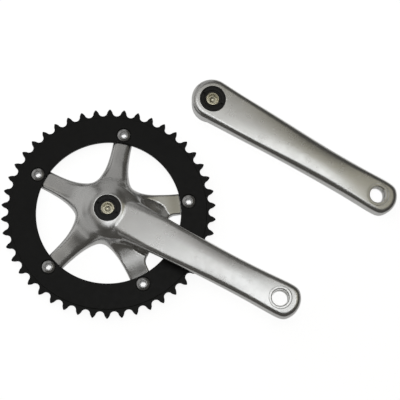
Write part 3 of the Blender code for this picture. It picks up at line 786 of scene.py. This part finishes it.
boltNodes = [f"chainring_bolt_{k}" for k in range(1, 6)]
nutNodes = [f"chainring_nut_{k}" for k in range(1, 6)]
for piece, nodes, body, finishSlot in (
    (rightArm, ["right_crank_arm"], "drive_side", "satin_aluminium"),
    (leftArm, ["left_crank_arm"], "left_side", "satin_aluminium"),
    (chainring, ["chainring"], "drive_side", "black_anodised"),
    (ringBolts, boltNodes, "drive_side", "polished_alloy"),
    (ringNuts, nutNodes, "drive_side", "polished_alloy"),
):
    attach(piece, body)
    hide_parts(*nodes)

# floor: white to the eye, with the shadow kept
studio = dict(floorSize=6.0, floorSeen=0.45, floorColour=0.80, eyeGlow=0.90, metalGlow=0.30, room=0.07,
              turn=28.0, middle=(0.06, 0.03, 0.02))


def makeFloor():
    half = studio["floorSize"] / 2
    mesh = bpy.data.meshes.new("floor")
    corners = [(-half, -half, 0), (half, -half, 0), (half, half, 0), (-half, half, 0)]
    mesh.from_pydata(corners, [], [(0, 1, 2, 3)])
    floor = bpy.data.objects.new("floor", mesh)
    floor.location.z = -0.0002
    scene.collection.objects.link(floor)
    paper = bpy.data.materials.new("floorPaper")
    paper.use_nodes = True
    tree = paper.node_tree
    tree.nodes.clear()
    out = addNode(tree, "ShaderNodeOutputMaterial")
    path = addNode(tree, "ShaderNodeLightPath")
    plain = addNode(tree, "ShaderNodeBsdfDiffuse")
    plain.inputs["Color"].default_value = (studio["floorColour"],) * 3 + (1.0,)
    seen = addNode(tree, "ShaderNodeBsdfDiffuse")
    seen.inputs["Color"].default_value = (studio["floorSeen"],) * 3 + (1.0,)
    toEye = addNode(tree, "ShaderNodeMixShader")
    tree.links.new(path.outputs["Is Camera Ray"], toEye.inputs["Fac"])
    tree.links.new(plain.outputs["BSDF"], toEye.inputs[1])
    tree.links.new(seen.outputs["BSDF"], toEye.inputs[2])
    metal = addNode(tree, "ShaderNodeMath", operation="MULTIPLY")
    metal.inputs[1].default_value = studio["metalGlow"]
    tree.links.new(path.outputs["Is Glossy Ray"], metal.inputs[0])
    strength = addNode(tree, "ShaderNodeMath", operation="MULTIPLY_ADD")
    strength.inputs[1].default_value = studio["eyeGlow"]
    tree.links.new(path.outputs["Is Camera Ray"], strength.inputs[0])
    tree.links.new(metal.outputs["Value"], strength.inputs[2])
    glow = addNode(tree, "ShaderNodeEmission")
    tree.links.new(strength.outputs["Value"], glow.inputs["Strength"])
    both = addNode(tree, "ShaderNodeAddShader")
    tree.links.new(toEye.outputs["Shader"], both.inputs[0])
    tree.links.new(glow.outputs["Emission"], both.inputs[1])
    tree.links.new(both.outputs["Shader"], out.inputs["Surface"])
    mesh.materials.append(paper)


def makeRoom():
    room = bpy.data.worlds.new("room")
    scene.world = room
    room.use_nodes = True
    tree = room.node_tree
    tree.nodes.clear()
    out = addNode(tree, "ShaderNodeOutputWorld")
    path = addNode(tree, "ShaderNodeLightPath")
    plain = addNode(tree, "ShaderNodeBackground", Strength=studio["room"])
    white = addNode(tree, "ShaderNodeBackground", Strength=1.0)
    white.inputs["Color"].default_value = (1, 1, 1, 1)
    plain.inputs["Color"].default_value = (1.0, 0.96, 0.88, 1)
    pick = addNode(tree, "ShaderNodeMixShader")
    tree.links.new(path.outputs["Is Camera Ray"], pick.inputs["Fac"])
    tree.links.new(plain.outputs["Background"], pick.inputs[1])
    tree.links.new(white.outputs["Background"], pick.inputs[2])
    tree.links.new(pick.outputs["Shader"], out.inputs["Surface"])


def addPanel(name, size, brightness, colour):
    # brightness is what a mirror would show of the panel, 1 being white
    lamp = bpy.data.lights.new(name, "AREA")
    lamp.shape = "RECTANGLE"
    lamp.size, lamp.size_y = size
    lamp.energy = brightness * math.pi * size[0] * size[1]
    lamp.color = colour
    holder = bpy.data.objects.new(name, lamp)
    scene.collection.objects.link(holder)
    return holder


def hangPanel(name, across, away, height, brightness, colour=(1.0, 1.0, 1.0)):
    # overhead: a span to the camera's right and a span away from it
    holder = addPanel(name, (across[1] - across[0], away[1] - away[0]), brightness, colour)
    turn = math.radians(studio["turn"])
    holder.location = Matrix.Rotation(turn, 3, "Z") @ Vector((sum(across) / 2, sum(away) / 2, height))
    holder.rotation_euler.z = turn


def standPanel(name, spot, size, brightness):
    holder = addPanel(name, size, brightness, (1.0, 1.0, 1.0))
    holder.location = spot
    holder.rotation_euler = (Vector(studio["middle"]) - Vector(spot)).to_track_quat("-Z", "Y").to_euler()


makeFloor()
makeRoom()
cool, warm = (0.97, 1.0, 1.03), (1.0, 0.95, 0.72)
hangPanel("softbox", (-0.05, 0.12), (-0.16, 0.34), 1.30, 1.42, cool)
hangPanel("softboxNear", (-0.17, -0.05), (-0.16, 0.12), 1.30, 1.42, cool)
hangPanel("softboxMiddle", (0.12, 0.27), (-0.16, 0.36), 1.30, 0.42, cool)
hangPanel("softboxRight", (0.27, 0.44), (-0.16, 0.28), 1.30, 1.42, cool)
hangPanel("ceiling", (-1.30, 0.45), (-0.18, 0.60), 1.45, 0.34, (1.0, 0.98, 0.95))
hangPanel("warmCeiling", (0.45, 1.00), (-0.10, 0.60), 1.45, 0.34, warm)
hangPanel("farCeiling", (-1.30, 0.12), (0.60, 1.40), 1.35, 0.28)
standPanel("leftWall", (-1.40, 0.0, 0.50), (1.8, 1.0), 0.42)
standPanel("nearWall", (-0.75, -1.00, 0.75), (0.9, 0.8), 0.34)
standPanel("farWall", (-0.72, 1.25, 0.70), (0.9, 1.2), 0.28)
print("studio lit")

# the photograph's camera
lensData = bpy.data.cameras.new("camera")
lensData.sensor_width = 36.0
lensData.lens = 116.664
lensData.clip_start, lensData.clip_end = 0.05, 20.0
camera = bpy.data.objects.new("camera", lensData)
camera.location = (0.179327, -0.200081, 1.132137)
camera.rotation_euler = [math.radians(a) for a in (13.622, -0.8965, 28.141)]
scene.collection.objects.link(camera)
scene.camera = camera
